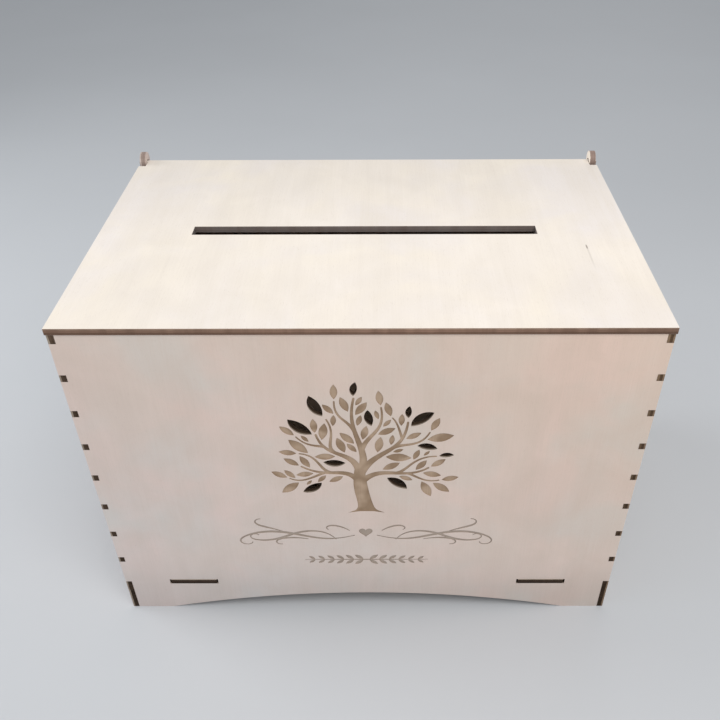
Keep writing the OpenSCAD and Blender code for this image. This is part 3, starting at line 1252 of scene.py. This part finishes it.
    def _piece(self, shell: bmesh.types.BMesh, *materials: bpy.types.Material) -> None:
        """Turns the shell into the finished piece, puts it on the carcass, and hides the CAD panel it takes
        the place of.

        Args:
            shell: the closed panel.
            materials: materials of the panel and of its recess.
        """
        open_edges = sum(not edge.is_manifold for edge in shell.edges)
        LOG.info("%s: %d faces, %d open edges", self.NAME, len(shell.faces), open_edges)
        mesh = bpy.data.meshes.new(self.NAME)
        shell.to_mesh(mesh)
        shell.free()
        for material in materials:
            mesh.materials.append(material)
        piece = bpy.data.objects.new(self.NAME, mesh)
        bpy.context.scene.collection.objects.link(piece)
        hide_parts(self.sheet.node)
        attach(piece, "carcass")


# -------------------------------------------------------- panels that stay as the CAD has them


@dataclass(frozen=True)
class PlainPanel:
    """A panel whose CAD solid is shown as it is, in its own plywood material."""

    sheet: Sheet
    plywood: Plywood

    def dress(self) -> None:
        """Gives the CAD node its material."""
        piece = frame["nodes"][self.sheet.node]
        piece.material_slots[0].material = self.plywood.material(self.sheet)
        faces = len(piece.data.polygons)
        LOG.info("%s: %d faces, grain along %s", piece.name, faces, self.sheet.grain.name)


@dataclass
class CardBox:
    """The whole box: the engraved front and five plain panels."""

    front: Sheet = Sheet("front_panel", Axis.Y, Axis.Z, False)
    rear: Sheet = Sheet("rear_panel", Axis.Y, Axis.Z, True)
    left: Sheet = Sheet("left_side", Axis.X, Axis.Z, False)
    right: Sheet = Sheet("right_side", Axis.X, Axis.Z, True)
    base: Sheet = Sheet("base_panel", Axis.Z, Axis.X, True)
    lid: Sheet = Sheet("lid", Axis.Z, Axis.Y, True)

    def build(self) -> None:
        """Builds and dresses every panel."""
        front = FrontPanel(self.front)
        front_y = self.front.faces()[0]
        engraved = EngravedWood(ENGRAVED).material(front_y, front.engraving_depth)
        front.build(Plywood(FRONT_VENEER, WALL_EDGE).material(self.front), engraved)
        for sheet, veneer, edge in (
                (self.rear, WALL_VENEER, WALL_EDGE), (self.left, LEFT_VENEER_PAINTED_SHADE, WALL_EDGE),
                (self.right, RIGHT_VENEER_PAINTED_LIGHT, RIGHT_EDGE), (self.base, BASE_VENEER, BASE_EDGE),
                (self.lid, LID_VENEER, LID_EDGE)):
            PlainPanel(sheet, Plywood(veneer, edge)).dress()


# -------------------------------------------------------- studio


@dataclass(frozen=True)
class Camera:
    """Pinhole camera: place in millimetres from the middle of the walls, angles in degrees."""

    place: tuple[float, float, float] = (12.53, -414.37, 425.36)
    pitch_down: float = 39.087
    yaw_left: float = 0.288
    roll: float = 0.278
    focal_px: float = 799.01
    centre_px: Point = (383.85, 400.1)
    frame_px: float = 720.0
    sensor_mm: float = 36.0

    def build(self, middle_y: float) -> None:
        """Builds the camera and makes it the scene's own.

        Args:
            middle_y: Y of the middle of the walls, in metres.
        """
        data = bpy.data.cameras.new("camera")
        data.sensor_width = self.sensor_mm
        data.lens = self.sensor_mm * self.focal_px / self.frame_px
        data.shift_x = (self.frame_px / 2 - self.centre_px[0]) / self.frame_px
        data.shift_y = (self.centre_px[1] - self.frame_px / 2) / self.frame_px
        pitch, yaw, roll = (math.radians(a) for a in (self.pitch_down, self.yaw_left, self.roll))
        level = Vector((math.cos(yaw), math.sin(yaw), 0.0))
        ahead = Vector((-math.sin(yaw) * math.cos(pitch), math.cos(yaw) * math.cos(pitch),
                        -math.sin(pitch)))
        down = Vector((math.sin(yaw) * math.sin(pitch), -math.cos(yaw) * math.sin(pitch),
                       -math.cos(pitch)))
        right = level * math.cos(roll) + down * math.sin(roll)
        up = level * math.sin(roll) - down * math.cos(roll)
        x, y, z = self.place
        matrix = Matrix((right, up, -ahead)).transposed().to_4x4()
        matrix.translation = Vector((x * MM, y * MM + middle_y, z * MM))
        camera = bpy.data.objects.new("camera", data)
        bpy.context.scene.collection.objects.link(camera)
        camera.matrix_world = matrix
        bpy.context.scene.camera = camera


@dataclass(frozen=True)
class SoftBox:
    """A square soft light: place, target and side in metres, power in watts, spread in degrees."""

    name: str
    place: tuple[float, float, float]
    target: tuple[float, float, float]
    side: float
    power: float
    colour: Colour
    spread: float = 180.0

    def build(self) -> None:
        """Builds the light."""
        data = bpy.data.lights.new(self.name, "AREA")
        data.shape, data.size, data.energy, data.color = "SQUARE", self.side, self.power, self.colour
        data.spread = math.radians(self.spread)
        light = bpy.data.objects.new(self.name, data)
        bpy.context.scene.collection.objects.link(light)
        light.location = self.place
        aim = Vector(self.target) - Vector(self.place)
        light.rotation_euler = aim.to_track_quat("-Z", "Y").to_euler()


@dataclass(frozen=True)
class Studio:
    """Pale floor, soft lights and an even surround."""

    floor_radius: float = 6.0
    floor_corners: int = 96
    floor_colour: Colour = (0.53, 0.543, 0.565)
    floor_paler: float = 1.04
    floor_noise: Point = (3.0, 3.0)
    floor_roughness: Point = (0.75, 0.85)
    floor_relief: Point = (0.1 * MM, 0.2)
    world_colour: Colour = (0.94, 0.97, 1.0)
    world_strength: float = 0.54
    lights: tuple[SoftBox, ...] = (
        SoftBox("key", (0.28, -0.66, 1.12), (0.0, -0.08, 0.18), 0.8, 8.8, (1.0, 0.97, 0.94)),
        SoftBox("fill", (-0.80, -0.25, 1.05), (0.0, 0.0, 0.15), 1.0, 1.6, (0.80, 0.95, 1.0)),
        SoftBox("rear", (0.50, 2.20, 0.75), (0.0, 0.10, 0.12), 1.2, 1.0, (1.0, 0.975, 0.945), 70.0),
        SoftBox("side", (-1.30, 0.35, 0.50), (0.0, 0.05, 0.15), 0.7, 2.5, (0.97, 0.985, 1.0), 90.0),
    )

    def build(self) -> None:
        """Builds the floor, the lights and the surround."""
        plane = bmesh.new()
        bmesh.ops.create_circle(plane, cap_ends=True, segments=self.floor_corners, radius=self.floor_radius)
        mesh = bpy.data.meshes.new("floor")
        plane.to_mesh(mesh)
        plane.free()
        mesh.materials.append(self._floor_material())
        floor = bpy.data.objects.new("floor", mesh)
        bpy.context.scene.collection.objects.link(floor)
        for light in self.lights:
            light.build()
        world = bpy.data.worlds.new("surround")
        world.use_nodes = True
        surround = world.node_tree.nodes["Background"]
        surround.inputs["Color"].default_value = (*self.world_colour, 1.0)
        surround.inputs["Strength"].default_value = self.world_strength
        bpy.context.scene.world = world
        bpy.context.scene.view_settings.view_transform = "Standard"

    def _floor_material(self) -> bpy.types.Material:
        """Returns a matt, very slightly mottled pale surface."""
        graph = ShaderGraph("studio_floor")
        x, y, _ = graph.coordinates()
        mottle = graph.noise(graph.vector(x, y, 0.0), *self.floor_noise)
        paler = tuple(min(1.0, c * self.floor_paler) for c in self.floor_colour)
        colour = graph.mix(graph.span(mottle, 0.3, 0.7), self.floor_colour, paler)
        roughness = graph.span(mottle, 0.2, 0.8, *self.floor_roughness)
        return graph.finish(colour, roughness, graph.bump(mottle, *self.floor_relief))


def main() -> None:
    """Builds the box and its studio."""
    logging.basicConfig(level=logging.INFO, format="%(name)s: %(message)s")
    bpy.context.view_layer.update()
    CardBox().build()
    Studio().build()
    front, rear = (corner.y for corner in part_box("base_panel"))
    Camera().build((front + rear) / 2)


if __name__ == "__main__":
    main()
